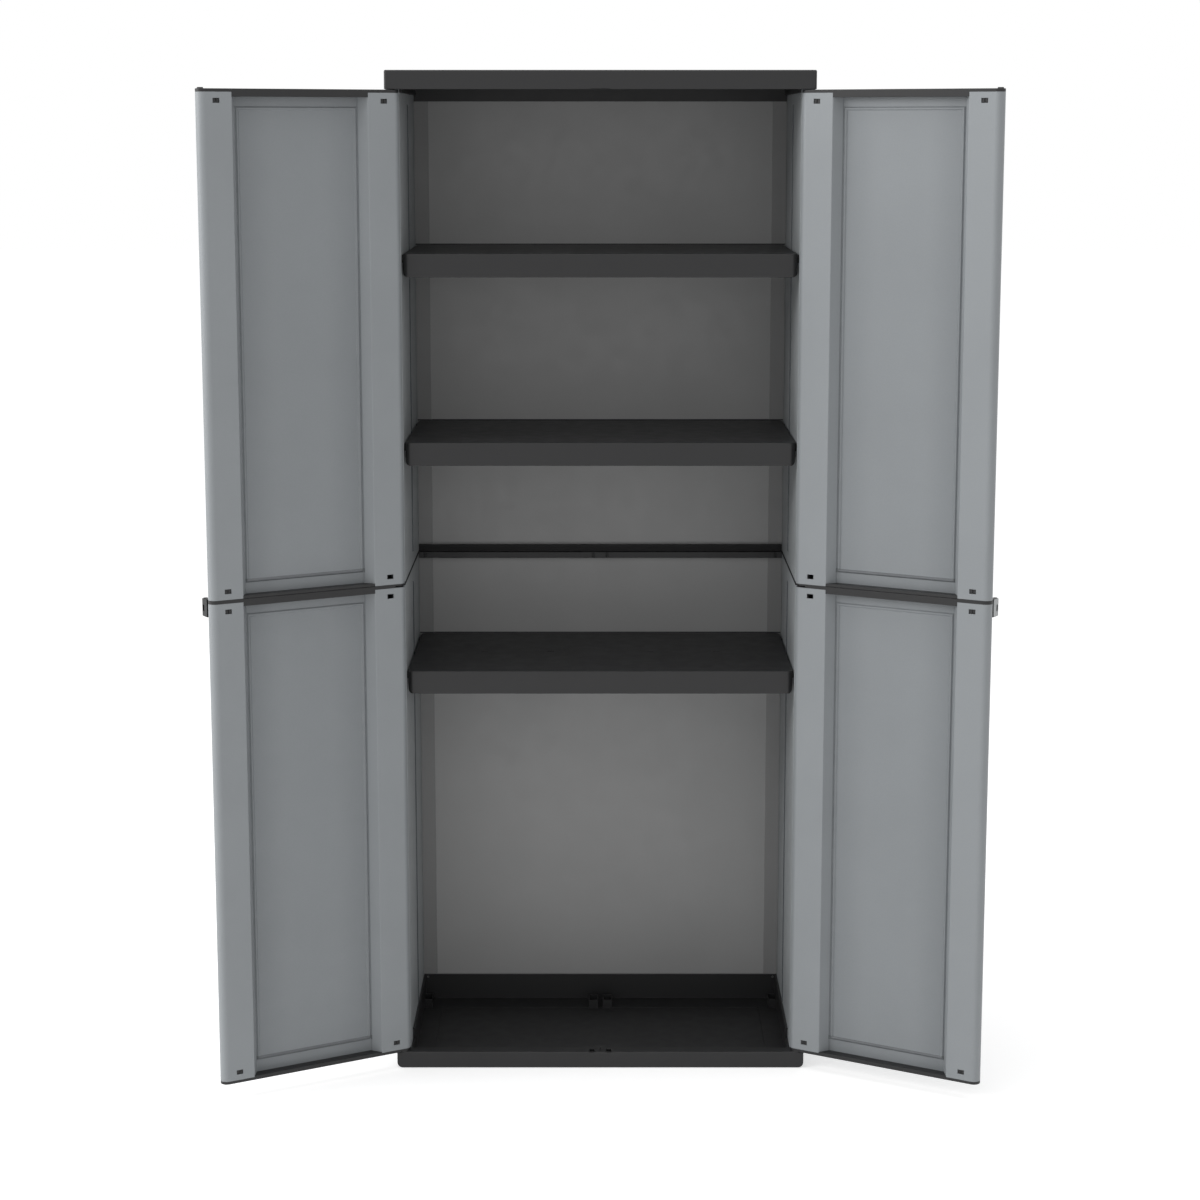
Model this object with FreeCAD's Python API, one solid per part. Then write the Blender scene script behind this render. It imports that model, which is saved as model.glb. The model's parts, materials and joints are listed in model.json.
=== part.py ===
import FreeCAD, Part
import math
import os

os.makedirs("parts", exist_ok=True)
V = FreeCAD.Vector

# Garden storage cabinet, in millimetres. Z is up, -Y is the front with the doors.
# The origin is the centre of the base's underside.

# Overall size
width = 680.0
depth = 375.0
height = 1640.0

# Black mouldings: base, roof, joiners and door caps
base_height = 28.0
roof_height = 29.5
wall = 2.6
rib = 2.0
rib_pitch = 62.0
front_edge_round = 2.5
roof_corner_round = 3.5
base_corner_round = 9.0
tray_side_step = 3.7
tray_back_step = 4.5
tray_lip = 18.5
roof_lip = 15.9
roof_side_lip = 5.5
roof_lip_start = 26.0
lip_start = 68.0
lip_ledge = 2.5
lip_gap = 0.1

# Grey panels
skin = 2.2
web = 2.5
side_thickness = 22.0
side_front_stile = 57.0
side_rear_stile = 77.0
back_thickness = 13.0
back_border = 24.0
back_recess = 1.5
back_tuck = 6.3
back_rib_depth = 8.0
stile_edge_round = 1.5
side_outer_round = 3.0
border_edge_round = 0.6

# Doors
door_thickness = 22.0
door_outer_recess = 1.5
recess_slope = 11.5
hinge_stile = 57.0
free_stile = 54.0
door_meeting_gap = 2.0
door_foot_gap = 0.7
door_head_gap = 1.0
carcass_gap = 0.7
open_angle = 150.0
cap_plate = 5.0
cap_skirt = 12.0
foot_skirt = 6.6
cap_edge_round = 1.0

# Bead frame on the doors' recessed fields, and one upright bead on the side panels' inner faces
bead_width = 6.0
bead_rise = 2.0
bead_end_inset = 21.6
bead_from_slope = 0.5
side_bead_middle = 173.0

# Joint between upper and lower panels
joint_height = 819.2
joint_plate = 6.0
band_below = 9.2
band_above = 7.2
seam_wide = 1.0
seam_deep = 1.6

# Tongues of the black pieces inside the hollow stiles, with a snap nib in a window
tongue_length = 30.0
tongue_wall = 2.0
tongue_from_ear = 2.5
side_post = 28.0
back_post = 16.0
slip = 0.3
snap_from_end = 13.0
snap_wide = 11.2
snap_tall = 7.4
snap_door_hinge = 18.5
snap_door_free = 28.7
snap_side = 28.5
nib_gap = 0.6
nib_sink = 1.2
nib_slit = 1.4

# Hinges
pin_radius = 5.0
pin_running = 0.05
pin_seat_gap = 0.3
foot_pin_bore = 20.0
head_pin_length = 16.5
head_bore = 19.0
knuckle_radius = 10.5
knuckle_rise = 3.0
ear_radius = 9.0
ear_gap = 0.15
ear_play = 0.5
ear_neck = 16.0
stub_radius = 3.0

# Padlock hasps on the free edges of the door joiners
hasp_reach = 20.0
hasp_drop = 29.0
hasp_lug = 5.5
hasp_steel = 2.0
hasp_setback = 1.5
hasp_slot_wide = 6.0
hasp_slot_tall = 11.5
hasp_slot_from_tip = 5.2
hasp_slot_from_top = 15.8
hasp_border = 1.0
hasp_round = 1.2

# Door catch
nub_long = 9.0
nub_wide = 5.0
nub_high = 1.8
nub_from_end = 7.5
nub_clearance = 0.3
nub_play = 2.0
nub_round = 1.5
catch_half = 15.0
catch_shoulder = 38.0
catch_depth = 11.0
catch_pocket = 8.0
catch_pocket_long = 10.0
catch_pocket_deep = 6.0
catch_pocket_centre = 14.0
catch_slit = 1.6
catch_slit_deep = 2.0
catch_flare = 4.0
catch_flare_depth = 1.5
catch_flare_round = 12.0
catch_boss_round = 4.0

# Shelves
shelf_height = 37.4
shelf_tops = [("bottom_shelf", 673.0), ("middle_shelf", 1049.4), ("top_shelf", 1352.5)]
shelf_front_gap = 1.5
shelf_back_gap = 0.5
shelf_side_gap = 2.5
shelf_corner = 9.0
shelf_lower_round = 8.0
shelf_edge_round = 2.0
shelf_rib_tall = 12.0
shelf_rib_pitch = 93.0
shelf_slot_long = 12.0
shelf_slot_wide = 3.0
shelf_slot_inner = 84.8
shelf_slot_outer = 197.0

# Plug-in shelf supports
peg_radius = 4.0
peg_play = 0.2
peg_into_stile = 9.0
support_arm = 17.0
support_wide = 12.0
support_tall = 12.0
support_flange_wide = 18.0
support_gap = 0.2
support_notch = 14.0
support_notch_end = 2.0
support_round = 1.0

# Moulded details of the tray and of the back joiner
groove_half_width = 282.5
groove_front = 70.0
groove_back = 305.0
groove_wide = 1.5
groove_deep = 0.8
socket_front = 299.5
socket_long = 33.0
socket_tall = 15.0
socket_inner = 4.0
socket_wide = 17.0
socket_wall = 2.0
corner_socket_front = 305.0
drain_radius = 2.3
drain_inset = 3.7
drain_height = 42.0
joiner_below = 10.7
joiner_above = 12.4
joiner_front = 11.0
joiner_undercut = 5.0
clip_eye_wide = 5.0
clip_eye_tall = 9.0
clip_eye_deep = 2.0
clip_eye_centre = 12.0
clip_eye_end = 11.0
clip_hook_wide = 1.7
clip_hook_tall = 6.8
clip_hook_sunk = 0.2
joiner_lean = 1.5
joiner_step = 1.0

# Overrun of a cut past the face that it opens, and what is kept of a full round
over = 1.0
shy = 0.05

# Worked out from the sizes above
half = width / 2
front = -depth / 2
back = depth / 2
roof_foot = height - roof_height
panel_front = front + door_thickness + carcass_gap
side_inner = half - side_thickness
side_width = back - panel_front
tray_half = side_inner - tray_side_step
back_inner = back - back_thickness
tray_back = back_inner - tray_back_step
lower_top = joint_height - joint_plate / 2
upper_foot = joint_height + joint_plate / 2
door_foot = base_height + door_foot_gap
door_head = roof_foot - door_head_gap
leaf_radius = door_thickness / 2
pivot_x = half - leaf_radius
pivot_y = front + leaf_radius
leaf_end = pivot_x - door_meeting_gap / 2
leaf_hinge_edge = hinge_stile - leaf_radius
leaf_free_edge = leaf_end - free_stile
web_out = door_outer_recess
web_in = door_outer_recess + web
slope_tall = door_thickness - web_in
slope_skin = skin * math.hypot(recess_slope, slope_tall) / slope_tall
slope_foot = recess_slope - slope_skin
slope_head = recess_slope * skin / slope_tall - slope_skin
side_web_out = side_thickness - web
side_rear_edge = side_width - side_rear_stile
rebate_depth = back_thickness + slip
rebate_reach = back_tuck + slip
back_half = side_inner + back_tuck
back_web_in = back_thickness - back_recess
shelf_front = front + door_thickness + shelf_front_gap
shelf_back = back_inner - shelf_back_gap
shelf_half = side_inner - shelf_side_gap


def box(x0, x1, y0, y1, z0, z1):
    return Part.makeBox(x1 - x0, y1 - y0, z1 - z0, V(x0, y0, z0))


def cylinder(radius, x, y, z0, z1):
    return Part.makeCylinder(radius, z1 - z0, V(x, y, z0), V(0, 0, 1))


def rounded_wire(corners):
    """Closed outline through corners (x, y, radius); a radius of 0 is a sharp corner."""
    pieces = []
    count = len(corners)
    for index, (x, y, radius) in enumerate(corners):
        here = V(x, y, 0)
        before = V(corners[index - 1][0], corners[index - 1][1], 0)
        following = corners[(index + 1) % count]
        after = V(following[0], following[1], 0)
        to_before = (before - here).normalize()
        to_after = (after - here).normalize()
        if radius == 0:
            pieces.append((here, here, here))
            continue
        half_angle = to_before.getAngle(to_after) / 2
        reach = radius / math.tan(half_angle)
        bisector = (to_before + to_after).normalize()
        centre = here + bisector * (radius / math.sin(half_angle))
        pieces.append((here + to_before * reach, centre - bisector * radius, here + to_after * reach))
    edges = []
    for index, (start, middle, end) in enumerate(pieces):
        if (end - start).Length > 1e-6:
            edges.append(Part.Arc(start, middle, end).toShape())
        next_start = pieces[(index + 1) % count][0]
        if (next_start - end).Length > 1e-6:
            edges.append(Part.LineSegment(end, next_start).toShape())
    return Part.Wire(edges)


def prism(corners, z0, z1):
    face = Part.Face(rounded_wire(corners))
    face.translate(V(0, 0, z0))
    return face.extrude(V(0, 0, z1 - z0))


def rectangle(x0, x1, y0, y1, radius):
    return [(x0, y0, radius), (x1, y0, radius), (x1, y1, radius), (x0, y1, radius)]


def fillet_where(shape, radius, test):
    """Round the edges whose middle point passes the test."""
    chosen = []
    for edge in shape.Edges:
        middle = edge.valueAt((edge.FirstParameter + edge.LastParameter) / 2)
        if test(middle):
            chosen.append(edge)
    return shape.makeFillet(radius, chosen)


def near(value, target):
    return abs(value - target) < 0.01


def mirrored(shape):
    return shape.mirror(V(0, 0, 0), V(1, 0, 0))


def combine(first, others):
    return first.fuse(others).removeSplitter()


def export(name, shape):
    shape.exportStep("parts/" + name + ".step")


def frustum(s0, s1, z0, z1, inset, t0, t1):
    """Block between two parallel rectangles; the one at t1 is smaller by the inset on each side."""
    wires = []
    for t, shrink in ((t0, 0.0), (t1, inset)):
        corners = [
            V(s0 + shrink, t, z0 + shrink),
            V(s1 - shrink, t, z0 + shrink),
            V(s1 - shrink, t, z1 - shrink),
            V(s0 + shrink, t, z1 - shrink),
        ]
        wires.append(Part.makePolygon(corners + corners[:1]))
    return Part.makeLoft(wires, True, True)


def bead_frame(s0, s1, z0, z1, t):
    """Raised bead round a field, with sloping flanks, standing on the plane at t."""
    flank = bead_width / 3
    outer = frustum(s0, s1, z0, z1, flank, t, t + bead_rise)
    inner = frustum(s0 + bead_width, s1 - bead_width, z0 + bead_width, z1 - bead_width,
                    -flank, t, t + bead_rise)
    return outer.cut(inner)


# Panels are drawn flat: s runs across the panel, t from the outer face to the inner face.

def snap_windows(snap_places, thickness, z0, z1):
    windows = []
    for s in snap_places:
        for z in (z0 + snap_from_end, z1 - snap_from_end):
            windows.append(
                box(s - snap_wide / 2, s + snap_wide / 2, thickness - skin - over, thickness + over,
                    z - snap_tall / 2, z + snap_tall / 2)
            )
    return windows


def door_panel(z0, z1):
    radius = leaf_radius
    edge = stile_edge_round
    outer_edge = min(stile_edge_round, web_out / 2)
    outline = [
        (-radius, 0, radius),
        (leaf_hinge_edge, 0, outer_edge),
        (leaf_hinge_edge, web_out, 0),
        (leaf_free_edge, web_out, 0),
        (leaf_free_edge, 0, outer_edge),
        (leaf_end, 0, radius),
        (leaf_end, door_thickness, radius),
        (leaf_free_edge, door_thickness, edge),
        (leaf_free_edge - recess_slope, web_in, 0),
        (leaf_hinge_edge + recess_slope, web_in, 0),
        (leaf_hinge_edge, door_thickness, edge),
        (-radius, door_thickness, radius),
    ]
    solid = prism(outline, z0, z1)
    inner_round = radius - skin
    near_tube = [
        (skin - radius, skin, inner_round),
        (leaf_hinge_edge - skin, skin, 0),
        (leaf_hinge_edge - skin, web_in, 0),
        (leaf_hinge_edge + slope_foot, web_in, 0),
        (leaf_hinge_edge + slope_head, door_thickness - skin, 0),
        (skin - radius, door_thickness - skin, inner_round),
    ]
    far_tube = [
        (leaf_free_edge + skin, skin, 0),
        (leaf_end - skin, skin, inner_round),
        (leaf_end - skin, door_thickness - skin, inner_round),
        (leaf_free_edge - slope_head, door_thickness - skin, 0),
        (leaf_free_edge - slope_foot, web_in, 0),
        (leaf_free_edge + skin, web_in, 0),
    ]
    holes = [prism(near_tube, z0 - over, z1 + over), prism(far_tube, z0 - over, z1 + over)]
    holes += snap_windows([snap_door_hinge, leaf_end - snap_door_free], door_thickness, z0, z1)
    inset = recess_slope + bead_from_slope
    bead = bead_frame(leaf_hinge_edge + inset, leaf_free_edge - inset,
                      z0 + bead_end_inset, z1 - bead_end_inset, web_in)
    return combine(solid.cut(holes), [bead])


def side_panel(z0, z1):
    edge = stile_edge_round
    lip_in = side_thickness - rebate_reach
    outline = [
        (0, 0, side_outer_round),
        (side_front_stile, 0, edge),
        (side_front_stile, side_web_out, 0),
        (side_rear_edge, side_web_out, 0),
        (side_rear_edge, 0, edge),
        (side_width, 0, side_outer_round),
        (side_width, lip_in, 0),
        (side_width - rebate_depth, lip_in, 0),
        (side_width - rebate_depth, side_thickness, 0),
        (0, side_thickness, edge),
    ]
    solid = prism(outline, z0, z1)
    front_tube = rectangle(skin, side_front_stile - skin, skin, side_thickness - skin, 0)
    rear_tube = rectangle(side_rear_edge + skin, side_width - rebate_depth - skin,
                          skin, side_thickness - skin, 0)
    holes = [prism(front_tube, z0 - over, z1 + over), prism(rear_tube, z0 - over, z1 + over)]
    holes += snap_windows([snap_side], side_thickness, z0, z1)
    for name, top in shelf_tops:
        peg_z = top - wall - support_gap - support_tall / 2
        if z0 < peg_z < z1:
            for s in support_places():
                hole = Part.makeCylinder(peg_radius + peg_play, skin + 2 * over,
                                         V(s, side_thickness - skin - over, peg_z), V(0, 1, 0))
                holes.append(hole)
    bead = frustum(side_bead_middle - bead_width / 2, side_bead_middle + bead_width / 2,
                   z0 + bead_end_inset, z1 - bead_end_inset, bead_width / 3,
                   side_thickness, side_thickness + bead_rise)
    return combine(solid.cut(holes), [bead])


def support_places():
    """Centres of the two shelf supports, measured from the front of the side panel."""
    return [side_front_stile / 2, side_rear_edge + (side_rear_stile - rebate_depth) / 2]


def back_panel(z0, z1):
    border = back_border + back_tuck
    outline = [
        (-back_half, 0, 0),
        (-back_half + border, 0, 0),
        (-back_half + border, back_web_in - web, 0),
        (back_half - border, back_web_in - web, 0),
        (back_half - border, 0, 0),
        (back_half, 0, 0),
        (back_half, back_thickness, 0),
        (back_half - border, back_thickness, border_edge_round),
        (back_half - border, back_web_in, 0),
        (-back_half + border, back_web_in, 0),
        (-back_half + border, back_thickness, border_edge_round),
        (-back_half, back_thickness, 0),
    ]
    solid = prism(outline, z0, z1)
    holes = []
    for side in (-1, 1):
        middle = side * (back_half - border / 2)
        tube = rectangle(middle - border / 2 + skin, middle + border / 2 - skin,
                         skin, back_thickness - skin, 0)
        holes.append(prism(tube, z0 - over, z1 + over))
    field = 2 * (back_half - border)
    count = int(field // (2 * rib_pitch))
    ribs = []
    for index in range(1, count + 1):
        s = -field / 2 + index * field / (count + 1)
        ribs.append(box(s - skin / 2, s + skin / 2, back_web_in - web - back_rib_depth,
                        back_web_in - web, z0 + wall, z1 - wall))
    return combine(solid.cut(holes), ribs)


def tongue(s0, s1, t0, t1, root, tip, snap_s, snap_face):
    """Hollow tongue that fills a stile; what is at snap_s shows in the panel's window.

    root and tip are heights. Where the panel has a window at snap_s, a slit nib stands on the t1 side
    and ends short of snap_face; with no snap_face, an open eye is there instead."""
    low, high = min(root, tip), max(root, tip)
    solid = box(s0, s1, t0, t1, low, high)
    hollow = box(s0 + tongue_wall, s1 - tongue_wall, t0 + tongue_wall, t1 - tongue_wall, low, high)
    hollow.translate(V(0, 0, tongue_wall if tip > root else -tongue_wall))
    solid = solid.cut(hollow)
    if snap_s is None:
        return solid
    toward_tip = 1 if tip > root else -1
    z = root + toward_tip * snap_from_end
    if snap_face is None:
        return solid.cut(box(snap_s - snap_wide / 2, snap_s + snap_wide / 2,
                             t1 - tongue_wall - over, t1 + over, z - snap_tall / 2, z + snap_tall / 2))
    nib = box(snap_s - snap_wide / 2 + nib_gap, snap_s + snap_wide / 2 - nib_gap, t1 - tongue_wall,
              snap_face - nib_sink, z - snap_tall / 2 + nib_gap, z + snap_tall / 2 - nib_gap)
    slit = box(snap_s - nib_slit / 2, snap_s + nib_slit / 2, t1, snap_face,
               z - snap_tall / 2, z + snap_tall / 2)
    return solid.fuse(nib.cut(slit))


def door_tongues(root, tip, near_face):
    """Tongues for both stiles; near_face is the hinge stile's face behind a nib, or None for an open eye."""
    t0 = skin + slip
    t1 = door_thickness - skin - slip
    near_tongue = tongue(ear_radius + tongue_from_ear, leaf_hinge_edge - skin - slip, t0, t1, root, tip,
                         snap_door_hinge, near_face)
    far_tongue = tongue(leaf_free_edge + skin + slip, leaf_end - leaf_radius, t0, t1, root, tip,
                        leaf_end - snap_door_free, door_thickness)
    return [near_tongue, far_tongue]


def leaf_outline():
    return [
        (-leaf_radius, 0, leaf_radius),
        (leaf_end, 0, leaf_radius),
        (leaf_end, door_thickness, leaf_radius),
        (-leaf_radius, door_thickness, leaf_radius),
    ]


def cap_skirts(z0, z1):
    """Blocks that fill the recesses of the leaf on both sides of its web."""
    inner = prism([
        (leaf_hinge_edge + recess_slope, web_in, 0),
        (leaf_free_edge - recess_slope, web_in, 0),
        (leaf_free_edge, door_thickness, 0),
        (leaf_hinge_edge, door_thickness, 0),
    ], z0, z1)
    outer = box(leaf_hinge_edge, leaf_free_edge, 0, web_out, z0, z1)
    return [inner, outer]


def door_top_cap():
    foot = door_head - cap_plate
    plate = prism(leaf_outline(), foot, door_head)
    plate = fillet_where(plate, cap_edge_round, lambda p: near(p.z, door_head))
    nub = prism(rectangle(leaf_end - nub_from_end - nub_long / 2, leaf_end - nub_from_end + nub_long / 2,
                          leaf_radius - nub_wide / 2, leaf_radius + nub_wide / 2, nub_round),
                door_head - over, door_head + nub_high)
    pin = cylinder(pin_radius, 0, leaf_radius, foot, door_head + head_pin_length)
    pieces = cap_skirts(door_head - cap_skirt, foot)
    pieces += door_tongues(foot, foot - tongue_length, door_thickness)
    return combine(plate, pieces + [nub, pin])


def door_bottom_cap():
    top = door_foot + cap_plate
    plate = prism(leaf_outline(), door_foot, top)
    plate = fillet_where(plate, cap_edge_round, lambda p: near(p.z, door_foot))
    relief_top = base_height + knuckle_rise + pin_seat_gap
    relief = box(-leaf_radius - over, knuckle_radius + ear_play, -over, door_thickness + over,
                 door_foot - over, relief_top)
    plate = plate.cut(relief)
    nub_s = pivot_x - catch_pocket_centre
    nub = prism(rectangle(nub_s - nub_wide / 2, nub_s + nub_wide / 2,
                          leaf_radius - nub_wide / 2, leaf_radius + nub_wide / 2, nub_round),
                door_foot - nub_high, door_foot + over)
    pin_foot = base_height - foot_pin_bore + pin_seat_gap
    pin = cylinder(pin_radius, 0, leaf_radius, pin_foot, top)
    pieces = cap_skirts(top, door_foot + foot_skirt)
    pieces += door_tongues(top, top + tongue_length, door_thickness)
    return combine(plate, pieces + [nub, pin])


def door_joiner():
    plate = prism(leaf_outline(), lower_top, upper_foot)
    ear_relief = box(-leaf_radius - over, ear_radius + ear_play, -over, door_thickness + over,
                     lower_top - over, joint_height + ear_gap)
    stub_hole = cylinder(stub_radius + pin_running, 0, leaf_radius, lower_top - over, upper_foot + over)
    plate = plate.cut([ear_relief, stub_hole])
    pieces = cap_skirts(joint_height - band_below, joint_height + band_above)
    pieces += door_tongues(lower_top, lower_top - tongue_length, None)
    pieces += door_tongues(upper_foot, upper_foot + tongue_length, None)
    solid = combine(plate, pieces)
    lug_end = leaf_end - hasp_setback - hasp_steel
    lug = box(lug_end - hasp_lug, lug_end, -hasp_reach, leaf_radius, upper_foot - hasp_drop, upper_foot)
    lug = lug.cut(door_edge_clearance())
    lug = fillet_where(lug, hasp_round,
                       lambda p: near(p.y, -hasp_reach) and near(p.x, lug_end - hasp_lug / 2))
    seam = box(leaf_hinge_edge, leaf_free_edge, door_thickness - seam_deep, door_thickness + over,
               upper_foot - seam_wide, upper_foot)
    return combine(solid, [lug]).cut([seam, hasp_slot(lug_end - hasp_lug - over, lug_end + over)])


def door_edge_clearance():
    """Room for the lower door panel's round free edge, under the joint plate."""
    return cylinder(leaf_radius + slip, leaf_end - leaf_radius, leaf_radius, 0, lower_top).fuse(
        box(leaf_free_edge, leaf_end - leaf_radius, -slip, door_thickness, 0, lower_top))


def hasp_slot(s0, s1):
    """Rounded padlock slot through the lug and the steel plate."""
    top = upper_foot - hasp_slot_from_top + hasp_slot_tall / 2
    bottom = top - hasp_slot_tall
    t0 = -hasp_reach + hasp_slot_from_tip - hasp_slot_wide / 2
    slot = box(s0, s1, t0, t0 + hasp_slot_wide, bottom, top)
    return fillet_where(slot, hasp_slot_wide / 2 - shy, lambda p: near(p.x, (s0 + s1) / 2))


def hasp_plate():
    s1 = leaf_end - hasp_setback
    s0 = s1 - hasp_steel
    plate = box(s0, s1, -hasp_reach, -hasp_border, upper_foot - hasp_drop, upper_foot - hasp_border)
    plate = fillet_where(plate, hasp_round, lambda p: near(p.y, -hasp_reach) and near(p.x, (s0 + s1) / 2))
    return plate.cut(hasp_slot(s0 - over, s1 + over))


def side_tongues(root, tip, with_snap):
    t0 = skin + slip
    t1 = side_thickness - skin - slip
    front_tongue = tongue(skin + slip, side_front_stile - skin - slip, t0, t1, root, tip,
                          snap_side if with_snap else None, side_thickness)
    rear_tongue = tongue(side_rear_edge + skin + slip, side_width - rebate_depth - skin - slip, t0, t1,
                         root, tip, None, side_thickness)
    return [front_tongue, rear_tongue]


def side_joiner():
    lip_in = side_thickness - rebate_reach
    outline = [
        (0, 0, side_outer_round),
        (side_width, 0, side_outer_round),
        (side_width, lip_in, 0),
        (side_width - rebate_depth, lip_in, 0),
        (side_width - rebate_depth, side_thickness, 0),
        (0, side_thickness, stile_edge_round),
    ]
    plate = prism(outline, lower_top, upper_foot)
    band = box(side_front_stile, side_rear_edge, 0, side_web_out,
               joint_height - band_below, joint_height + band_above)
    reach = leaf_radius + carcass_gap
    ear_low = lower_top + ear_gap
    ear_high = joint_height - ear_gap / 2
    disc = cylinder(ear_radius, -reach, leaf_radius, ear_low, ear_high)
    neck = box(-reach, side_outer_round, leaf_radius - ear_neck / 2, leaf_radius + ear_neck / 2,
               ear_low, ear_high)
    stub = cylinder(stub_radius, -reach, leaf_radius, ear_low, upper_foot - ear_gap)
    pieces = [band, disc, neck, stub]
    pieces += side_tongues(lower_top, lower_top - tongue_length, True)
    pieces += side_tongues(upper_foot, upper_foot + tongue_length, True)
    return combine(plate, pieces)


def back_tongues(root, tip):
    """Plain tongues in the two border tubes of a back panel."""
    border = back_border + back_tuck
    tongues = []
    for side in (-1, 1):
        middle = side * (back_half - border / 2)
        reach = border / 2 - skin - slip
        tongues.append(tongue(middle - reach, middle + reach, skin + slip, back_thickness - skin - slip,
                              root, tip, None, back_thickness))
    return tongues


def clip_eye(s):
    """Oval eye with a hook in it, on the lower flange of the back joiner."""
    z = joint_height - joiner_below / 2
    t1 = back_thickness + joiner_front
    eye = box(s - clip_eye_wide / 2, s + clip_eye_wide / 2, t1 - clip_eye_deep, t1 + over,
              z - clip_eye_tall / 2, z + clip_eye_tall / 2)
    eye = fillet_where(eye, clip_eye_wide / 2 - shy, lambda p: near(p.y, t1 + (over - clip_eye_deep) / 2))
    hook = box(s - clip_hook_wide / 2, s + clip_hook_wide / 2, t1 - wall, t1 - clip_hook_sunk,
               z - clip_eye_tall / 2, z - clip_eye_tall / 2 + clip_hook_tall)
    return eye, hook


def back_joiner():
    reach = side_inner - slip
    plate = box(-reach, reach, 0, back_thickness, lower_top, upper_foot)
    t1 = back_thickness + joiner_front
    profile = [
        V(-reach, back_thickness, joint_height - joiner_below),
        V(-reach, t1, joint_height - joiner_below),
        V(-reach, t1, joint_height - joiner_step / 2),
        V(-reach, t1 - joiner_undercut, joint_height + joiner_step / 2),
        V(-reach, t1 - joiner_lean, joint_height + joiner_above),
        V(-reach, back_thickness, joint_height + joiner_above),
    ]
    flange = Part.Face(Part.makePolygon(profile + profile[:1])).extrude(V(2 * reach, 0, 0))
    hollow = box(-reach + wall, reach - wall, back_thickness - over, t1 - wall,
                 joint_height - joiner_below - over, lower_top)
    solid = combine(plate, [flange.cut(hollow)])
    hooks = []
    for s in (-reach + clip_eye_end, -clip_eye_centre, clip_eye_centre, reach - clip_eye_end):
        eye, hook = clip_eye(s)
        solid = solid.cut(eye)
        hooks.append(hook)
    hooks += back_tongues(lower_top, lower_top - tongue_length)
    hooks += back_tongues(upper_foot, upper_foot + tongue_length)
    return combine(solid, hooks)


# Places of the flat drawn pieces on the cabinet

def on_side(shape):
    """From panel coordinates to the right side of the cabinet."""
    placed = shape.copy()
    placed.rotate(V(0, 0, 0), V(0, 0, 1), 90)
    placed.translate(V(half, panel_front, 0))
    return placed


def on_back(shape):
    placed = shape.copy()
    placed.rotate(V(0, 0, 0), V(0, 0, 1), 180)
    placed.translate(V(0, back, 0))
    return placed


def on_leaf(shape):
    """From leaf coordinates to the left door, opened as it stands at rest."""
    placed = shape.copy()
    placed.translate(V(0, -leaf_radius, 0))
    placed.rotate(V(0, 0, 0), V(0, 0, 1), -open_angle)
    placed.translate(V(-pivot_x, pivot_y, 0))
    return placed


def channel_cells(x0, x1, y0, y1, z0, z1, along_x):
    """Hollows between cross ribs, along a rim that is open on one side."""
    length = x1 - x0 if along_x else y1 - y0
    count = max(1, int(length // rib_pitch))
    pitch = (length + rib) / count
    cells = []
    for index in range(count):
        start = index * pitch
        end = start + pitch - rib
        if along_x:
            cells.append(box(x0 + start, x0 + end, y0, y1, z0, z1))
        else:
            cells.append(box(x0, x1, y0 + start, y0 + end, z0, z1))
    return cells


def rim_hollows(z0, z1):
    """Ribbed hollows all round the rim, clear of the solid hinge corners."""
    x_in = tray_half + wall
    x_out = half - wall
    y_front_out = front + wall
    y_front_in = front + door_thickness - wall
    y_back_in = tray_back + wall
    y_back_out = back - wall
    y_side0 = front + door_thickness + wall
    y_side1 = y_back_in - wall
    cells = channel_cells(-x_in, x_in, y_front_out, y_front_in, z0, z1, True)
    cells += channel_cells(-x_in, x_in, y_back_in, y_back_out, z0, z1, True)
    for x0, x1 in ((-x_out, -x_in), (x_in, x_out)):
        cells += channel_cells(x0, x1, y_side0, y_side1, z0, z1, False)
    return cells


def lip(x0, x1, x_ledge, y0, y1, y_ledge, edge, free):
    """Upright lip from the rim to its free edge, with a ledge along that edge."""
    upright = box(min(x0, x1), max(x0, x1), y0, y1, min(edge, free), max(edge, free))
    ledge_low = free - lip_ledge if free > edge else free
    ledge = box(min(x0, x_ledge), max(x0, x_ledge), y0, y_ledge, ledge_low, ledge_low + lip_ledge)
    return [upright, ledge]


def lips(edge, side_free, back_free, start):
    """Lips inside the side and back panels; those at the sides begin at start, behind the front."""
    reach = side_inner - lip_gap
    tray_back_face = tray_back + wall
    pieces = lip(-reach, reach, reach, tray_back, tray_back_face, back_inner - lip_gap, edge, back_free)
    for side in (-1, 1):
        pieces += lip(side * tray_half, side * (tray_half + wall), side * reach,
                      front + start, tray_back_face, tray_back_face, edge, side_free)
    return pieces


def open_socket(x0, x1, y0, y1, z0, z1):
    """Small moulded socket on the tray floor, open at the top."""
    return box(x0, x1, y0, y1, z0, z1).cut(
        box(x0 + socket_wall, x1 - socket_wall, y0 + socket_wall, y1 - socket_wall,
            z0 + socket_wall, z1 + over))


def place_side_tongues(root, tip):
    """Tongues for both side panels, on the cabinet."""
    placed = [on_side(piece) for piece in side_tongues(root, tip, True)]
    return placed + [mirrored(piece) for piece in placed]


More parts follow.
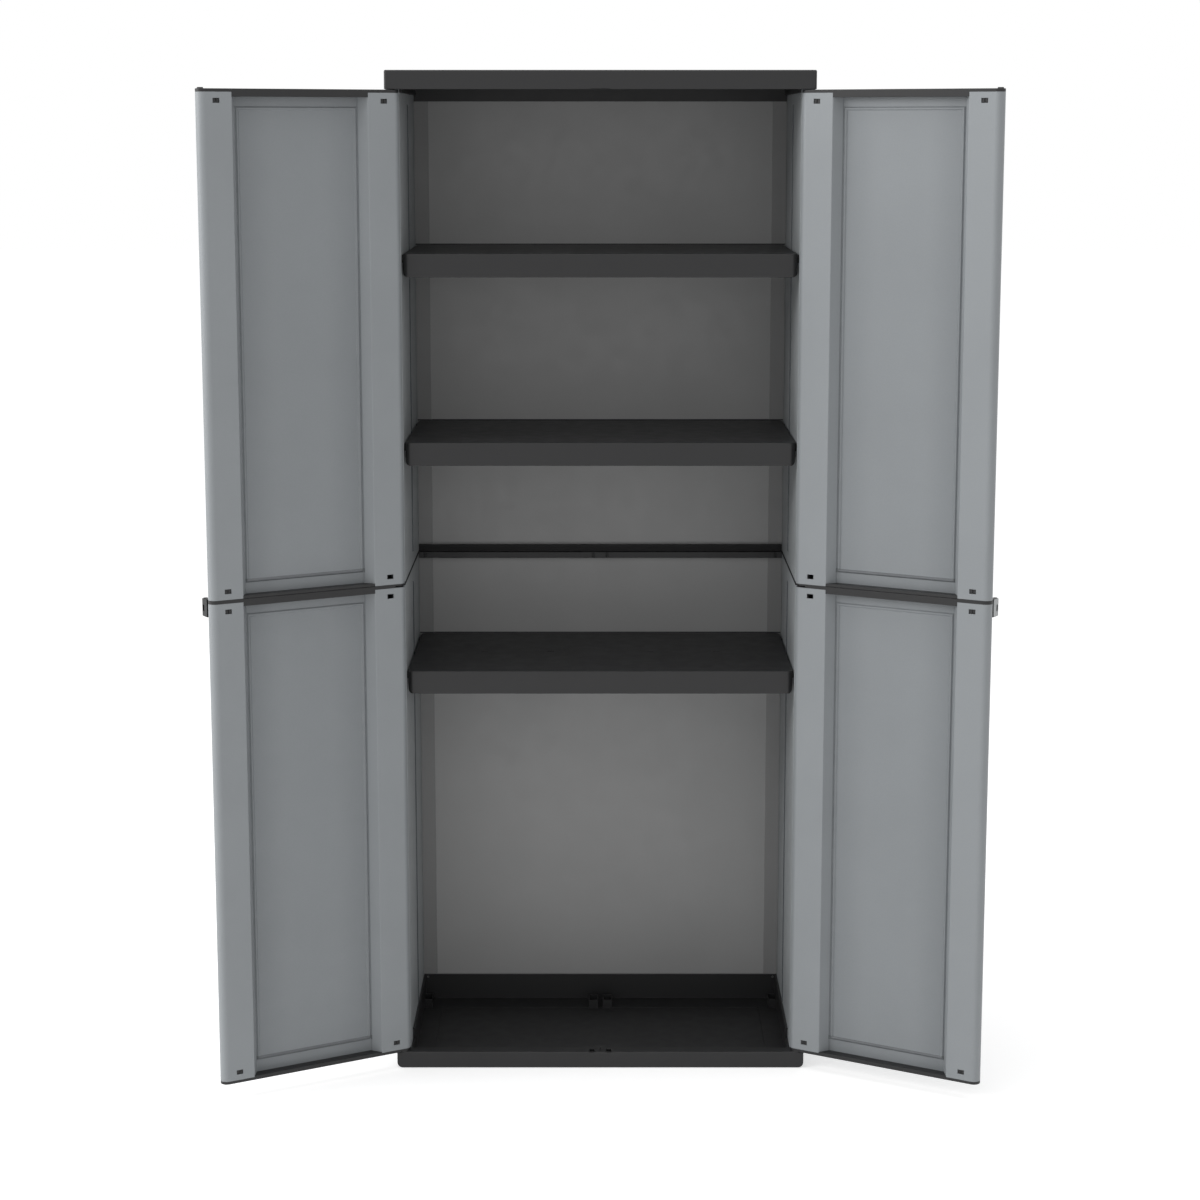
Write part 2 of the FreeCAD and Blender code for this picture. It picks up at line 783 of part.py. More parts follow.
def base_tray():
    body = box(-half, half, front, back, 0, base_height)
    body = fillet_where(body, base_corner_round, lambda p: near(p.z, 0) and near(abs(p.x), half))
    body = fillet_where(body, front_edge_round, lambda p: near(p.y, front) or near(p.y, back))
    well = box(-tray_half, tray_half, front + door_thickness, tray_back, wall, base_height + over)
    solid = body.cut([well] + rim_hollows(-over, base_height - wall))
    lip_top = base_height + tray_lip
    pieces = lips(base_height - wall, lip_top, lip_top, lip_start)
    pieces += place_side_tongues(base_height, base_height + tongue_length)
    pieces += [on_back(piece) for piece in back_tongues(base_height, base_height + tongue_length)]
    for side in (-1, 1):
        pieces.append(cylinder(knuckle_radius, side * pivot_x, pivot_y, base_height - wall,
                               base_height + knuckle_rise))
        pieces.append(centre_socket(side))
        pieces.append(corner_socket(side))
    pieces.append(catch_boss())
    solid = combine(solid, pieces)
    return solid.cut(tray_cuts())


def centre_socket(side):
    x_a = side * socket_inner
    x_b = side * (socket_inner + socket_wide)
    y0 = front + socket_front
    return open_socket(min(x_a, x_b), max(x_a, x_b), y0, y0 + socket_long, wall, wall + socket_tall)


def corner_socket(side):
    x_a = side * (tray_half - socket_wide + socket_wall)
    x_b = side * (tray_half + socket_wall)
    y0 = front + corner_socket_front
    return open_socket(min(x_a, x_b), max(x_a, x_b), y0, y0 + socket_long, wall, wall + socket_tall)


def catch_boss():
    """Thickening behind the middle of the front rim, with soft shoulders."""
    y0 = front + door_thickness - wall
    y1 = front + door_thickness + catch_depth
    corners = [
        (-catch_shoulder, y0, 0),
        (catch_shoulder, y0, 0),
        (catch_shoulder, y0 + wall, 0),
        (catch_half + catch_flare, y0 + wall + catch_flare_depth, catch_flare_round),
        (catch_half, y1, catch_boss_round),
        (-catch_half, y1, catch_boss_round),
        (-catch_half - catch_flare, y0 + wall + catch_flare_depth, catch_flare_round),
        (-catch_shoulder, y0 + wall, 0),
    ]
    return prism(corners, wall - over, base_height)


def tray_cuts():
    cuts = []
    bore_foot = base_height - foot_pin_bore
    for side in (-1, 1):
        cuts.append(cylinder(pin_radius + pin_running, side * pivot_x, pivot_y, bore_foot,
                             base_height + knuckle_rise + over))
        x0 = side * catch_pocket_centre
        pocket = prism(rectangle(x0 - catch_pocket / 2, x0 + catch_pocket / 2,
                                 pivot_y - catch_pocket_long / 2, pivot_y + catch_pocket_long / 2, nub_round),
                       base_height - catch_pocket_deep, base_height + over)
        run_in = box(x0 - nub_wide / 2 - nub_play, x0 + nub_wide / 2 + nub_play, front - over, pivot_y,
                     door_foot - nub_high - nub_clearance, base_height + over)
        cuts += [pocket, run_in]
        drain_x = side * (tray_half - drain_inset)
        cuts.append(Part.makeCylinder(drain_radius, wall + 2 * over,
                                      V(drain_x, tray_back - over, drain_height), V(0, 1, 0)))
    cuts.append(box(-catch_slit / 2, catch_slit / 2, front + wall, front + door_thickness,
                    base_height - catch_slit_deep, base_height + over))
    outer = box(-groove_half_width, groove_half_width, front + groove_front, front + groove_back,
                wall - groove_deep, wall + over)
    inner = box(-groove_half_width + groove_wide, groove_half_width - groove_wide,
                front + groove_front + groove_wide, front + groove_back - groove_wide,
                wall - groove_deep - over, wall + 2 * over)
    cuts.append(outer.cut(inner))
    return cuts


def roof():
    body = box(-half, half, front, back, roof_foot, height)
    body = fillet_where(body, roof_corner_round,
                        lambda p: near(abs(p.x), half) and near(abs(p.y), depth / 2))
    body = fillet_where(body, front_edge_round, lambda p: near(p.z, height))
    well = box(-tray_half, tray_half, front + door_thickness, tray_back, roof_foot - over, height - wall)
    solid = body.cut([well] + rim_hollows(roof_foot - over, height - wall))
    pieces = lips(roof_foot + wall, roof_foot - roof_side_lip, roof_foot - roof_lip, roof_lip_start)
    side_roots = place_side_tongues(roof_foot, roof_foot - tongue_length)
    back_roots = [on_back(piece) for piece in back_tongues(roof_foot, roof_foot - tongue_length)]
    pieces += side_roots + back_roots
    pieces += tongue_posts()
    solid = combine(solid, pieces)
    cuts = []
    for side in (-1, 1):
        cuts.append(cylinder(pin_radius + pin_running, side * pivot_x, pivot_y, roof_foot - over,
                             roof_foot + head_bore))
    nub_reach = door_meeting_gap / 2 + nub_from_end + nub_long / 2 + nub_play
    nub_top = door_head + nub_high + nub_clearance
    cuts.append(box(-nub_reach, nub_reach, front - over, pivot_y + nub_wide, roof_foot - over, nub_top))
    return solid.cut(cuts)


def tongue_posts():
    """Ribs that carry the roof's tongues down from its top plate through the open rim."""
    posts = []
    t0 = skin + slip
    t1 = side_thickness - skin - slip
    for s in support_places():
        post = box(s - side_post / 2, s + side_post / 2, t0, t1, roof_foot - tongue_wall, height - wall)
        placed = on_side(post)
        posts += [placed, mirrored(placed)]
    border = back_border + back_tuck
    for side in (-1, 1):
        s = side * (back_half - border / 2)
        post = box(s - back_post / 2, s + back_post / 2, skin + slip, back_thickness - skin - slip,
                   roof_foot - tongue_wall, height - wall)
        posts.append(on_back(post))
    return posts


def shelf(top):
    foot = top - shelf_height
    body = box(-shelf_half, shelf_half, shelf_front, shelf_back, foot, top)
    body = fillet_where(body, shelf_corner,
                        lambda p: near(abs(p.x), shelf_half) and near(p.z, (foot + top) / 2))
    body = fillet_where(body, shelf_edge_round, lambda p: near(p.z, top))
    inner_round = shelf_corner - wall
    hollow = prism(rectangle(-shelf_half + wall, shelf_half - wall, shelf_front + wall, shelf_back - wall,
                             inner_round), foot - over, top - wall)
    solid = body.cut(hollow).cut(elevation_corners(foot))
    solid = combine(solid, shelf_ribs(top))
    cuts = []
    y_middle = (shelf_front + shelf_back) / 2
    for x in (-shelf_slot_outer, -shelf_slot_inner, shelf_slot_inner, shelf_slot_outer):
        cuts.append(prism(rectangle(x - shelf_slot_long / 2, x + shelf_slot_long / 2,
                                    y_middle - shelf_slot_wide / 2, y_middle + shelf_slot_wide / 2,
                                    shelf_slot_wide / 2 - shy), top - wall - over, top + over))
    for s in support_places():
        y = panel_front + s
        for side in (-1, 1):
            x_a = side * (side_inner - support_arm - shelf_side_gap - support_notch_end)
            x_b = side * (shelf_half + over)
            cuts.append(box(min(x_a, x_b), max(x_a, x_b), y - support_notch / 2, y + support_notch / 2,
                            foot - over, top - wall))
    return solid.cut(cuts)


def elevation_corners(foot):
    """What is cut off to round the lower corners of the shelf, seen from the front."""
    radius = shelf_lower_round
    cuts = []
    for side in (-1, 1):
        centre_x = side * (shelf_half - radius)
        corner_x = side * (shelf_half + over)
        block = box(min(centre_x, corner_x), max(centre_x, corner_x), shelf_front - over, shelf_back + over,
                    foot - over, foot + radius)
        rod = Part.makeCylinder(radius, depth, V(centre_x, front, foot + radius), V(0, 1, 0))
        cuts.append(block.cut(rod))
    return cuts


def shelf_ribs(top):
    """Stiffening ribs under the shelf, along and across."""
    low = top - wall - shelf_rib_tall
    high = top - wall + over
    ribs = []
    span = 2 * (shelf_half - wall)
    across = int(span // shelf_rib_pitch)
    for index in range(1, across):
        x = -span / 2 + index * span / across
        ribs.append(box(x - rib / 2, x + rib / 2,
                        shelf_front + wall - over, shelf_back - wall + over, low, high))
    reach = shelf_back - shelf_front
    along = int(reach // shelf_rib_pitch)
    for index in range(1, along + 1):
        y = shelf_front + index * reach / (along + 1)
        ribs.append(box(-shelf_half + wall - over, shelf_half - wall + over,
                        y - rib / 2, y + rib / 2, low, high))
    return ribs


def shelf_support(top, s):
    """One plug-in support on the right side panel: peg, flange and arm under the shelf."""
    high = top - wall - support_gap
    low = high - support_tall
    y = panel_front + s
    middle_z = (high + low) / 2
    arm = box(side_inner - support_arm - shelf_side_gap, side_inner, y - support_wide / 2,
              y + support_wide / 2, low, high)
    arm = fillet_where(arm, support_round, lambda p: near(p.x, side_inner - support_arm - shelf_side_gap))
    flange = box(side_inner - shelf_side_gap + slip, side_inner, y - support_flange_wide / 2,
                 y + support_flange_wide / 2, low - slip, high)
    peg = Part.makeCylinder(peg_radius, skin + peg_into_stile, V(side_inner, y, middle_z), V(1, 0, 0))
    return combine(arm, [flange, peg])


def shelf_supports(top):
    pieces = []
    for s in support_places():
        piece = shelf_support(top, s)
        pieces += [piece, mirrored(piece)]
    return Part.makeCompound(pieces)


export("base_tray", base_tray())
export("roof", roof())

for level, z0, z1 in (("lower", base_height, lower_top), ("upper", upper_foot, roof_foot)):
    right = on_side(side_panel(z0, z1))
    export("right_side_" + level + "_panel", right)
    export("left_side_" + level + "_panel", mirrored(right))
    export("back_" + level + "_panel", on_back(back_panel(z0, z1)))

right = on_side(side_joiner())
export("right_side_joiner", right)
export("left_side_joiner", mirrored(right))
export("back_joiner", on_back(back_joiner()))

leaf_pieces = {
    "door_lower_panel": door_panel(door_foot + cap_plate, lower_top),
    "door_upper_panel": door_panel(upper_foot, door_head - cap_plate),
    "door_bottom_cap": door_bottom_cap(),
    "door_joiner": door_joiner(),
    "door_top_cap": door_top_cap(),
    "hasp_plate": hasp_plate(),
}
for name, shape in leaf_pieces.items():
    left = on_leaf(shape)
    export("left_" + name, left)
    export("right_" + name, mirrored(left))

for name, top in shelf_tops:
    export(name, shelf(top))
    export(name + "_supports", shelf_supports(top))
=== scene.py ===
import json
import math

import bpy
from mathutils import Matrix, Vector


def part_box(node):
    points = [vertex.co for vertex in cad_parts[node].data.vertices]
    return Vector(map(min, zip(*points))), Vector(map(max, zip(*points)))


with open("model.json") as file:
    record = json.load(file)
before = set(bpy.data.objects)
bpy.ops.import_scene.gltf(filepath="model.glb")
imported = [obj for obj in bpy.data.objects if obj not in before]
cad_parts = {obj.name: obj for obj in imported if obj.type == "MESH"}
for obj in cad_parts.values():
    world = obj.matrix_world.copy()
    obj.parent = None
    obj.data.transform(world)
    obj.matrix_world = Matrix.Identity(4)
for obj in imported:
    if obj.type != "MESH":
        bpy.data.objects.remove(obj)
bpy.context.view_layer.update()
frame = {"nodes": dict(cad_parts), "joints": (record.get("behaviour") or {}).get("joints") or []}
nodes = frame["nodes"]
bpy.ops.object.select_all(action="DESELECT")

mm = 0.001  # the scene is in metres


# An sRGB hex colour as the linear one that shaders take.
def linearColour(hexColour):
    channels = []
    for start in (1, 3, 5):
        value = int(hexColour[start:start + 2], 16) / 255
        channels.append(value / 12.92 if value <= 0.04045 else ((value + 0.055) / 1.055) ** 2.4)
    return channels + [1.0]


# A node with its settings, its fixed values and its links.
def addNode(tree, kind, properties=None, values=None, links=None):
    node = tree.nodes.new(kind)
    for name, value in (properties or {}).items():
        setattr(node, name, value)
    for socket, value in (values or {}).items():
        node.inputs[socket].default_value = value
    for socket, source in (links or {}).items():
        tree.links.new(source, node.inputs[socket])
    return node


# One where the number is within reach of any of the middles, else zero.
def nearAny(tree, source, middles, reach):
    mask = None
    for middle in middles:
        near = addNode(tree, "ShaderNodeMath", {"operation": "COMPARE"}, {1: middle, 2: reach}, {0: source})
        if mask is None:
            mask = near.outputs[0]
        else:
            mask = addNode(tree, "ShaderNodeMath", {"operation": "MAXIMUM"},
                           links={0: mask, 1: near.outputs[0]}).outputs[0]
    return mask


# The colour, with the paint laid over it where all the masks meet.
def painted(tree, colour, paint, masks):
    factor = masks[0]
    for mask in masks[1:]:
        factor = addNode(tree, "ShaderNodeMath", {"operation": "MULTIPLY"},
                         links={0: factor, 1: mask}).outputs[0]
    return addNode(tree, "ShaderNodeMix", {"data_type": "RGBA"}, {"B": linearColour(paint)},
                   {"Factor": factor, "A": colour}).outputs["Result"]


def newMaterial(name):
    material = bpy.data.materials.new(name)
    material.use_nodes = True
    material.node_tree.nodes.clear()
    return material


# Camera at the photograph's place: a long lens at standing height, looking a little down.
camera = {
    "lens": 80.0,
    "sensor": 36.0,
    "place": (-0.0006, -4.4489, 1.5511),
    "pitchDown": 10.05,
    "sees": (0.05, 100.0),  # nearest and farthest
}


def makeCamera():
    data = bpy.data.cameras.new("photoCamera")
    data.lens = camera["lens"]
    data.sensor_width = camera["sensor"]
    data.sensor_fit = "HORIZONTAL"
    data.clip_start, data.clip_end = camera["sees"]
    body = bpy.data.objects.new("photoCamera", data)
    body.location = camera["place"]
    body.rotation_euler = (math.radians(90 - camera["pitchDown"]), 0, 0)
    bpy.context.scene.collection.objects.link(body)
    bpy.context.scene.camera = body


makeCamera()
print("camera placed")


# Soft studio: even light from all round, large square lamps at the left and above. The camera, glass and
# glossy surfaces see a white backdrop and a glowing floor instead, which light nothing else.
studio = {
    "floorSide": 60.0,
    "floorColour": "#ececec",
    "floorRoughness": 1.0,
    "floorSpecular": 0.0,
    "floorGlow": 0.45,
    "backdropColour": "#ffffff",
    "backdrop": 1.0,
    "ambientColour": "#ffffff",
    "ambient": 0.72,
    "lampSide": 2.0,
    "lampAim": (0.0, -0.1, 0.8),
}
lamps = {
    "keyLeft": {"place": (-4.52, -2.21, 3.12), "watts": 79.0},
    "farLeft": {"place": (-5.15, -0.55, 2.68), "watts": 94.0},
    "overhead": {"place": (0.0, -0.79, 4.74), "watts": 31.0},
}


def addLamp(name, values):
    data = bpy.data.lights.new(name, "AREA")
    data.size = studio["lampSide"]
    data.energy = values["watts"]
    body = bpy.data.objects.new(name, data)
    body.location = values["place"]
    direction = Vector(studio["lampAim"]) - Vector(values["place"])
    body.rotation_euler = direction.to_track_quat("-Z", "Y").to_euler()
    bpy.context.scene.collection.objects.link(body)


# One for the rays that see the backdrop, zero for those that light the object.
def showsBackdrop(tree):
    path = addNode(tree, "ShaderNodeLightPath")
    shows = path.outputs["Is Camera Ray"]
    for ray in ("Is Transmission Ray", "Is Glossy Ray"):
        shows = addNode(tree, "ShaderNodeMath", {"operation": "MAXIMUM"},
                        links={0: shows, 1: path.outputs[ray]}).outputs[0]
    return shows


def makeWorld():
    world = bpy.data.worlds.new("studio")
    world.use_nodes = True
    tree = world.node_tree
    tree.nodes.clear()
    light = addNode(tree, "ShaderNodeBackground", values={"Color": linearColour(studio["ambientColour"]),
                                                          "Strength": studio["ambient"]})
    backdrop = addNode(tree, "ShaderNodeBackground", values={"Color": linearColour(studio["backdropColour"]),
                                                             "Strength": studio["backdrop"]})
    mix = addNode(tree, "ShaderNodeMixShader",
                  links={0: showsBackdrop(tree), 1: light.outputs[0], 2: backdrop.outputs[0]})
    addNode(tree, "ShaderNodeOutputWorld", links={"Surface": mix.outputs[0]})
    bpy.context.scene.world = world


def makeFloor():
    bpy.ops.mesh.primitive_plane_add(size=studio["floorSide"], location=(0, 0, 0))
    floor = bpy.context.object
    floor.name = "studioFloor"
    material = newMaterial("paintedStudioFloor")
    tree = material.node_tree
    glow = addNode(tree, "ShaderNodeMath", {"operation": "MULTIPLY"}, {1: studio["floorGlow"]},
                   {0: showsBackdrop(tree)})
    surface = addNode(tree, "ShaderNodeBsdfPrincipled", values={
        "Base Color": linearColour(studio["floorColour"]),
        "Roughness": studio["floorRoughness"],
        "Specular IOR Level": studio["floorSpecular"],
        "Emission Color": linearColour(studio["backdropColour"])},
        links={"Emission Strength": glow.outputs[0]})
    addNode(tree, "ShaderNodeOutputMaterial", links={"Surface": surface.outputs[0]})
    floor.data.materials.append(material)
    floor.select_set(False)


makeWorld()
makeFloor()
for lampName, lampValues in lamps.items():
    addLamp(lampName, lampValues)
print("studio lit")


# What the cabinet's materials share.
bevelSamples = 4
noiseRange = {"From Min": 0.3, "From Max": 0.7}  # a noise texture's numbers seldom leave it


def around(middle, spread):
    return {"To Min": middle - spread, "To Max": middle + spread}


# A rounded shading normal, and how far it leaves the true one: zero on a face, one at a corner. The turn is
# the cosine between the two normals at zero and at one.
def roundedCorners(tree, radius, turn):
    rounded = addNode(tree, "ShaderNodeBevel", {"samples": bevelSamples}, {"Radius": radius}).outputs[0]
    geometry = addNode(tree, "ShaderNodeNewGeometry")
    cosine = addNode(tree, "ShaderNodeVectorMath", {"operation": "DOT_PRODUCT"},
                     links={0: rounded, 1: geometry.outputs["Normal"]})
    corner = addNode(tree, "ShaderNodeMapRange", values={"From Min": turn[0], "From Max": turn[1]},
                     links={"Value": cosine.outputs["Value"]})
    return rounded, corner.outputs[0]


# Moulded polypropylene. The mould was spark-eroded, which leaves a fine satin grain, and the flow of the melt
# leaves broad, faint ripples and clouds. The real grain is about 0.3 mm, too fine to show, so it is drawn five
# times as coarse.
moulding = {
    "patterns": {  # size and detail of each noise
        "grain": (1.6 * mm, 2.0),
        "ripple": (85.0 * mm, 1.0),
        "clouds": (160.0 * mm, 3.0),
        "sheenSpots": (22.0 * mm, 4.0),
        "rubPatches": (14.0 * mm, 3.0),
    },
    "bumps": {  # strength and depth
        "ripple": (0.5, 0.10 * mm),
        "grain": (0.4, 0.05 * mm),
    },
    "edgeRadius": 0.9 * mm,
    "edgeTurn": (0.995, 0.85),
    "rubFrom": 0.42,
    "rubTo": 0.62,
    "ior": 1.49,
}


def mouldedSurface(tree, place, baseColour, look):
    noise = {}
    for pattern, (size, detail) in moulding["patterns"].items():
        noise[pattern] = addNode(tree, "ShaderNodeTexNoise", values={"Scale": 1 / size, "Detail": detail},
                                 links={"Vector": place}).outputs[0]
    rounded, corner = roundedCorners(tree, moulding["edgeRadius"], moulding["edgeTurn"])
    normal = rounded
    for pattern, (strength, depth) in moulding["bumps"].items():
        normal = addNode(tree, "ShaderNodeBump", values={"Strength": strength, "Distance": depth},
                         links={"Height": noise[pattern], "Normal": normal}).outputs[0]
    # Colour: the faint clouds and the grain's own speckle, then the corners, rubbed in patches.
    cloudy = addNode(tree, "ShaderNodeMapRange", values={**noiseRange, **around(1, look["cloud"])},
                     links={"Value": noise["clouds"]})
    speckle = addNode(tree, "ShaderNodeMapRange", values={**noiseRange, **around(1, look["speckle"])},
                      links={"Value": noise["grain"]})
    shade = addNode(tree, "ShaderNodeMath", {"operation": "MULTIPLY"},
                    links={0: cloudy.outputs[0], 1: speckle.outputs[0]})
    tinted = addNode(tree, "ShaderNodeVectorMath", {"operation": "SCALE"}, links={"Scale": shade.outputs[0]})
    if isinstance(baseColour, str):
        tinted.inputs[0].default_value = linearColour(baseColour)[:3]
    else:
        tree.links.new(baseColour, tinted.inputs[0])
    patches = addNode(tree, "ShaderNodeMapRange", values={
        "From Min": moulding["rubFrom"], "From Max": moulding["rubTo"], "To Max": look["rub"]},
        links={"Value": noise["rubPatches"]})
    colour = painted(tree, tinted.outputs[0], look["rubbed"], [corner, patches.outputs[0]])
    # Roughness: satin, a little glossier in spots where hands and boxes have polished the grain.
    roughness = addNode(tree, "ShaderNodeMapRange",
                        values={**noiseRange, **around(look["roughness"], look["roughSpread"])},
                        links={"Value": noise["sheenSpots"]})
    surface = addNode(tree, "ShaderNodeBsdfPrincipled",
                      values={"IOR": moulding["ior"], "Specular IOR Level": look["specular"]},
                      links={"Base Color": colour, "Roughness": roughness.outputs[0], "Normal": normal})
    addNode(tree, "ShaderNodeOutputMaterial", links={"Surface": surface.outputs[0]})


# Grey polypropylene: even mid grey with a cool tint on doors and sides, neutral on the back.
greyPlastic = {
    "rubbed": "#a9adaf",
    "rub": 0.5,
    "cloud": 0.025,
    "speckle": 0.02,
    "roughness": 0.46,
    "roughSpread": 0.07,
    "specular": 0.5,
}
# The colour of each family of panels and of its field, and the middle and the reach of the depths at which the
# field lies.
greyFamilies = {
    "left_door": {"colour": "#8d9194", "field": "#868a8d", "fieldDepth": -6.45 * mm, "fieldReach": 1.55 * mm},
    "right_door": {"colour": "#8d9194", "field": "#868a8d", "fieldDepth": -6.45 * mm, "fieldReach": 1.55 * mm},
    # On a side the field is its inner face, painted lighter than the grey and by a different amount on each
    # side: painted light and sheen that the inner walls catch.
    "left_side": {"colour": "#8d9194", "field": "#a3a7a9", "fieldDepth": 22.95 * mm, "fieldReach": 1.55 * mm},
    "right_side": {"colour": "#8d9194", "field": "#9a9ea0", "fieldDepth": 22.95 * mm, "fieldReach": 1.55 * mm},
    "back": {"colour": "#8c8c8c", "field": "#a4a4a4", "fieldDepth": 10.25 * mm, "fieldReach": 1.35 * mm},
}
# Where each family's own flat coordinates lie on the cabinet: X across, Y inwards and Z up from the floor. They
# start at the hinge of a door and at the middle of a side's or the back's outer face. Away is the sign with
# which X runs away from the hinge on a door and to the back on a side.
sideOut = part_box("right_side_lower_panel")[1].x
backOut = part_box("back_lower_panel")[1].y
flatPlaces = {"back": {"start": (0.0, backOut, 0.0), "turn": 180, "away": 1}}
for side, sign in (("left", -1), ("right", 1)):
    hinge = next(joint for joint in frame["joints"] if joint["name"] == side + "_door_hinge")
    hingeX, hingeY = hinge["pos_m"][:2]
    flatPlaces[side + "_door"] = {"start": (hingeX, hingeY, 0.0), "turn": sign * hinge["range_deg"][1],
                                  "away": -sign}
    flatPlaces[side + "_side"] = {"start": (sign * sideOut, 0.0, 0.0), "turn": sign * 90, "away": sign}

# The painted shade on each kind of panel: darker marks where shade falls. A mark shows where its bands meet. A
# band is a direction, the middles along it and the reach to both sides of them.
doorFeet = [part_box("left_door_" + half + "_panel")[0].z for half in ("lower", "upper")]
shelfTops = [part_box(shelf + "_shelf")[1].z for shelf in ("bottom", "middle", "top")]
paintedShadeMarks = {
    "door": [
        {"colour": "#626568", "bands": [  # painted shade on the beads at the foot of each field
            ("up", [foot + 24.6 * mm for foot in doorFeet], 3.4 * mm), ("inwards", [-5.92 * mm], 1.02 * mm)]},
    ],
    "side": [
        {"colour": "#8a8d8f", "bands": [  # painted shade: a darker strip along the back panel
            ("away", [157.0 * mm], 10.0 * mm)]},
        {"colour": "#53565a", "bands": [  # painted shade in the front corner of the upright bead
            ("away", [6.2 * mm], 1.3 * mm), ("inwards", [23.2 * mm], 1.1 * mm)]},
    ],
    "back": [
        {"colour": "#262627", "bands": [  # painted shadow lines level with the shelves, on both faces of the thin back
            ("up", [top + 0.7 * mm for top in shelfTops], 1.2 * mm), ("inwards", [11.0 * mm], 2.1 * mm)]},
    ],
}
# Painted shade: the fields of the doors darken towards their long edges, in the shade of the stiles.
paintedDoorShade = {
    "colour": "#7d8184",
    "middle": 160.0 * mm,  # from the hinge
    "from": 35.0 * mm,  # from the middle
    "to": 98.0 * mm,
}


def greyPolypropylene(name, key, family, flatPlace):
    material = newMaterial(name)
    tree = material.node_tree
    coordinates = addNode(tree, "ShaderNodeTexCoord")
    onPanel = addNode(tree, "ShaderNodeMapping", {"vector_type": "TEXTURE"},
                      {"Location": flatPlace["start"], "Rotation": (0, 0, math.radians(flatPlace["turn"]))},
                      {"Vector": coordinates.outputs["Object"]}).outputs[0]
    axes = addNode(tree, "ShaderNodeSeparateXYZ", links={0: onPanel})
    away = addNode(tree, "ShaderNodeMath", {"operation": "MULTIPLY"}, {1: flatPlace["away"]},
                   {0: axes.outputs["X"]})
    directions = {"away": away.outputs[0], "inwards": axes.outputs["Y"], "up": axes.outputs["Z"]}
    # On the sides the field's colour holds painted light.
    field = nearAny(tree, directions["inwards"], [family["fieldDepth"]], family["fieldReach"])
    colour = addNode(tree, "ShaderNodeMix", {"data_type": "RGBA"},
                     {"A": linearColour(family["colour"]), "B": linearColour(family["field"])},
                     {"Factor": field}).outputs["Result"]
    kind = key.split("_")[-1]
    if kind == "door":
        # painted shade of the stiles on the door's field
        offMiddle = addNode(tree, "ShaderNodeMath", {"operation": "SUBTRACT"}, {1: paintedDoorShade["middle"]},
                            {0: directions["away"]})
        distance = addNode(tree, "ShaderNodeMath", {"operation": "ABSOLUTE"}, links={0: offMiddle.outputs[0]})
        edge = addNode(tree, "ShaderNodeMapRange", {"interpolation_type": "SMOOTHSTEP"},
                       {"From Min": paintedDoorShade["from"], "From Max": paintedDoorShade["to"]},
                       {"Value": distance.outputs[0]})
        colour = painted(tree, colour, paintedDoorShade["colour"], [edge.outputs[0], field])
    # then the painted shade marks
    for mark in paintedShadeMarks[kind]:
        bands = [nearAny(tree, directions[direction], middles, reach)
                 for direction, middles, reach in mark["bands"]]
        colour = painted(tree, colour, mark["colour"], bands)
    mouldedSurface(tree, onPanel, colour, greyPlastic)
    return material


# Black polypropylene: soot black that the satin grain lifts to a dark grey; corners rub to a paler grey.
blackPlastic = {
    "colour": "#1f1f20",
    "rubbed": "#454547",
    "rub": 0.45,
    "cloud": 0.02,
    "speckle": 0.025,
    "roughness": 0.46,
    "roughSpread": 0.03,
    "specular": 0.43,
}
# The side joiners keep more of the mould's coarse grain, so they shine less along the walls.
coarseBlackPlastic = dict(blackPlastic, roughness=0.62, specular=0.12)


def blackPolypropylene(name, look):
    material = newMaterial(name)
    tree = material.node_tree
    coordinates = addNode(tree, "ShaderNodeTexCoord")
    mouldedSurface(tree, coordinates.outputs["Object"], look["colour"], look)
    return material


# Zinc-plated sheet steel: dulled grey metal with small crystal spangles, rolling lines along its length and
# brighter, burnished rims. Real rolling lines are about 0.1 mm apart, too fine to show, so they are drawn at
# 0.8 mm.
zincSteel = {
    "spangle": 4.0 * mm,
    "spangleShade": 0.06,
    "line": 0.8 * mm,
    "lineDetail": 2.0,
    "lineStretch": 0.06,
    "lineStrength": 0.5,
    "lineDepth": 0.02 * mm,
    "roughness": 0.42,
    "roughSpread": 0.08,
    "rimRadius": 0.5 * mm,
    "rimTurn": (0.99, 0.85),
}
# The left plate is painted darker than the right one, though both are the same steel: painted reflection, dark
# on the left and bright on the right.
zincTonesWithPaintedReflection = {
    "left": {"colour": "#2f3031", "rim": "#434445"},
    "right": {"colour": "#97999a", "rim": "#b4b6b6"},
}


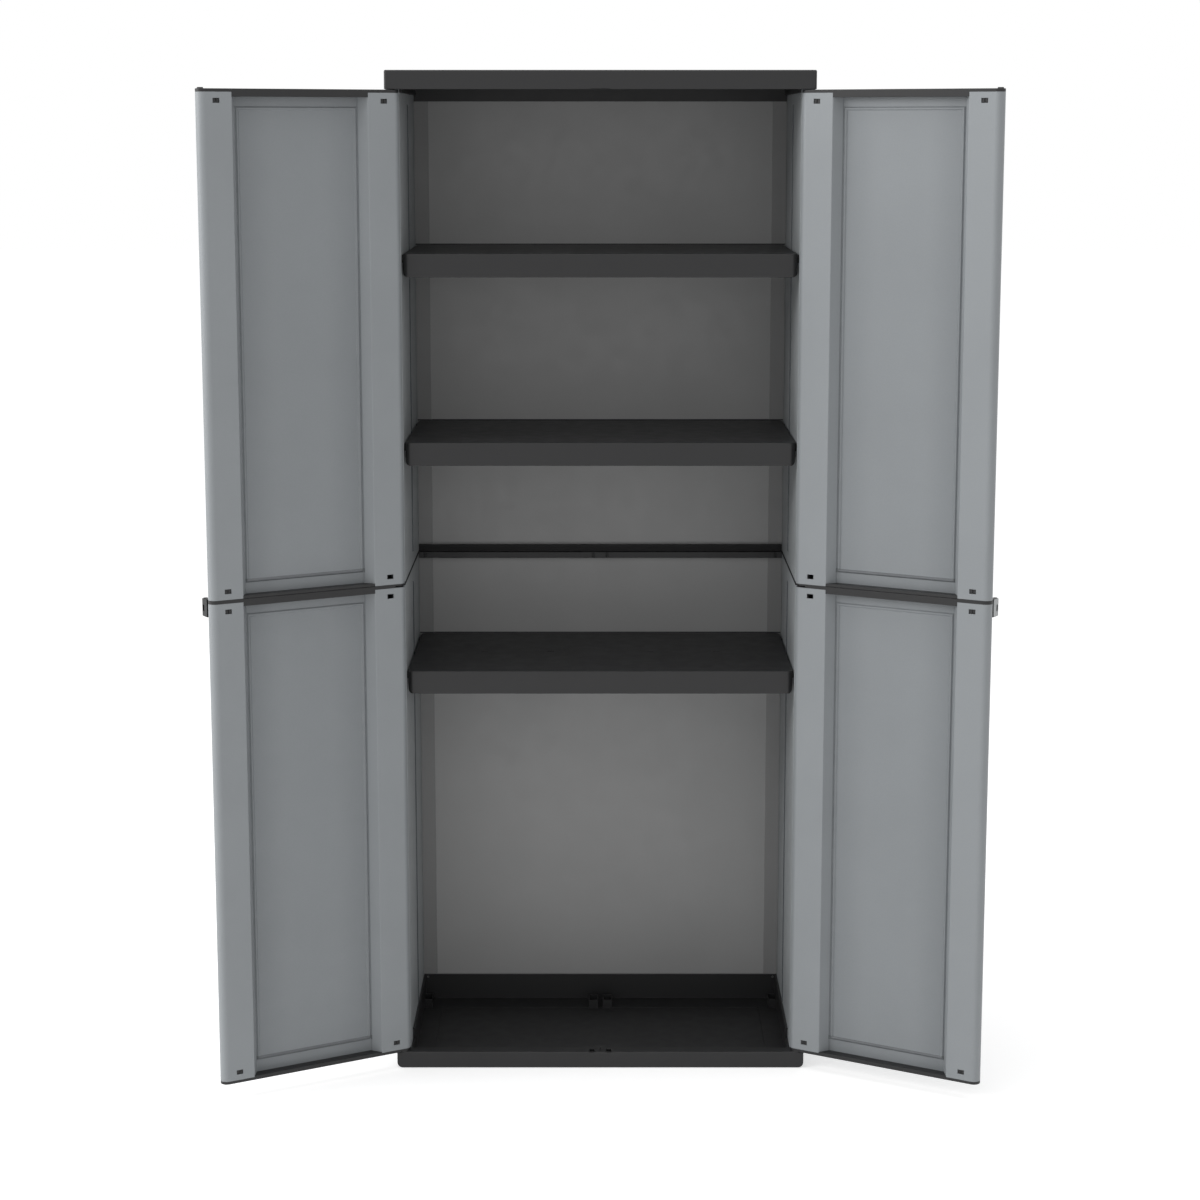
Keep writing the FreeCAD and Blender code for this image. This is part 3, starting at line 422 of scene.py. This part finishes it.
def zincPlatedSteel(name, tone):
    material = newMaterial(name)
    tree = material.node_tree
    place = addNode(tree, "ShaderNodeTexCoord").outputs["Object"]
    along = addNode(tree, "ShaderNodeMapping", values={"Scale": (1, 1, zincSteel["lineStretch"])},
                    links={"Vector": place})
    lines = addNode(tree, "ShaderNodeTexNoise",
                    values={"Scale": 1 / zincSteel["line"], "Detail": zincSteel["lineDetail"]},
                    links={"Vector": along.outputs[0]}).outputs[0]
    rounded, rim = roundedCorners(tree, zincSteel["rimRadius"], zincSteel["rimTurn"])
    normal = addNode(tree, "ShaderNodeBump",
                     values={"Strength": zincSteel["lineStrength"], "Distance": zincSteel["lineDepth"]},
                     links={"Height": lines, "Normal": rounded})
    # Colour: each spangle has a shade of its own, then the burnished rims.
    spangles = addNode(tree, "ShaderNodeTexVoronoi", values={"Scale": 1 / zincSteel["spangle"]},
                       links={"Vector": place})
    grey = addNode(tree, "ShaderNodeSeparateColor", links={0: spangles.outputs["Color"]})
    shade = addNode(tree, "ShaderNodeMapRange", values=around(1, zincSteel["spangleShade"]),
                    links={"Value": grey.outputs[0]})
    spangled = addNode(tree, "ShaderNodeVectorMath", {"operation": "SCALE"},
                       {0: linearColour(tone["colour"])[:3]}, {"Scale": shade.outputs[0]})
    colour = painted(tree, spangled.outputs[0], tone["rim"], [rim])
    roughness = addNode(tree, "ShaderNodeMapRange",
                        values={**noiseRange, **around(zincSteel["roughness"], zincSteel["roughSpread"])},
                        links={"Value": lines})
    surface = addNode(tree, "ShaderNodeBsdfPrincipled", values={"Metallic": 1.0},
                      links={"Base Color": colour, "Roughness": roughness.outputs[0],
                             "Normal": normal.outputs[0]})
    addNode(tree, "ShaderNodeOutputMaterial", links={"Surface": surface.outputs[0]})
    return material


def dress(nodeName, material):
    slots = nodes[nodeName].data.materials
    for index in range(len(slots)):
        slots[index] = material


grey = {key: greyPolypropylene(key + "_grey_polypropylene", key, family, flatPlaces[key])
        for key, family in greyFamilies.items()}
black = blackPolypropylene("black_polypropylene_moulded", blackPlastic)
coarseBlack = blackPolypropylene("black_polypropylene_coarse_grain", coarseBlackPlastic)
# each hasp plate with its own painted reflection
steel = {side: zincPlatedSteel(side + "_zinc_plated_steel_sheet", tone) for side, tone in zincTonesWithPaintedReflection.items()}
for nodeName in nodes:
    if "hasp" in nodeName:
        dress(nodeName, steel[nodeName.split("_")[0]])
    elif "panel" in nodeName:
        dress(nodeName, grey[next(key for key in grey if nodeName.startswith(key))])
    elif "side_joiner" in nodeName:
        dress(nodeName, coarseBlack)
    else:
        dress(nodeName, black)
print("materials set")

bpy.context.scene.view_settings.view_transform = "Standard"
